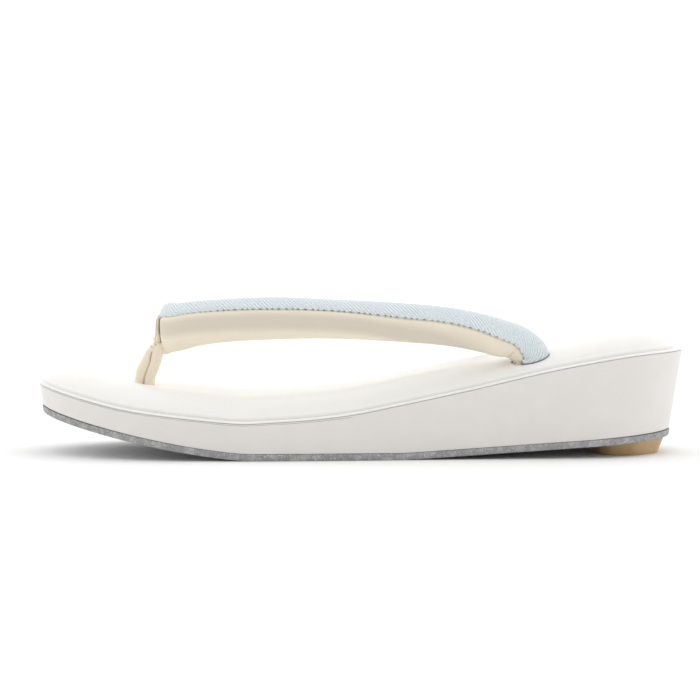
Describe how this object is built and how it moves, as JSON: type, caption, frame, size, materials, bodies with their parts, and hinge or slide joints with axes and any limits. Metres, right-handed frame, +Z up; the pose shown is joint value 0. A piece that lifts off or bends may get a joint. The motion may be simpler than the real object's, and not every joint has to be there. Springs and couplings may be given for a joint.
{
  "type": "zori sandal",
  "caption": "Padded thong sandal on a low wrapped wedge, with a two-tone padded strap joined at a toe loop.",
  "frame": {"origin": "on the floor, under the middle of the length and width", "axes": "+Z up, +X from toe to heel, +Y to one side; the shoe is the same on both sides"},
  "size_m": [0.2384, 0.0842, 0.057],
  "materials": {
    "outsole": "fibrous matte grey split leather with pale flecks",
    "heel_rubber": "amber crepe-like rubber, satin",
    "side_cover": "off-white coated leather cloth, fine grain, soft gloss",
    "top_cover": "off-white coated leather cloth over padding, soft gloss",
    "cream_cloth": "smooth cream cloth, matte with a faint sheen",
    "blue_cloth": "pale blue twill, matte",
    "loop_cloth": "gathered cream cloth, matte"
  },
  "bodies": {
    "root": {"outsole": "outsole", "heel_lift": "heel_rubber", "wedge_core": "side_cover", "footbed": "top_cover", "strap_lining": "cream_cloth", "strap_face": "blue_cloth", "toe_loop": "loop_cloth"}
  },
  "joints": []
}
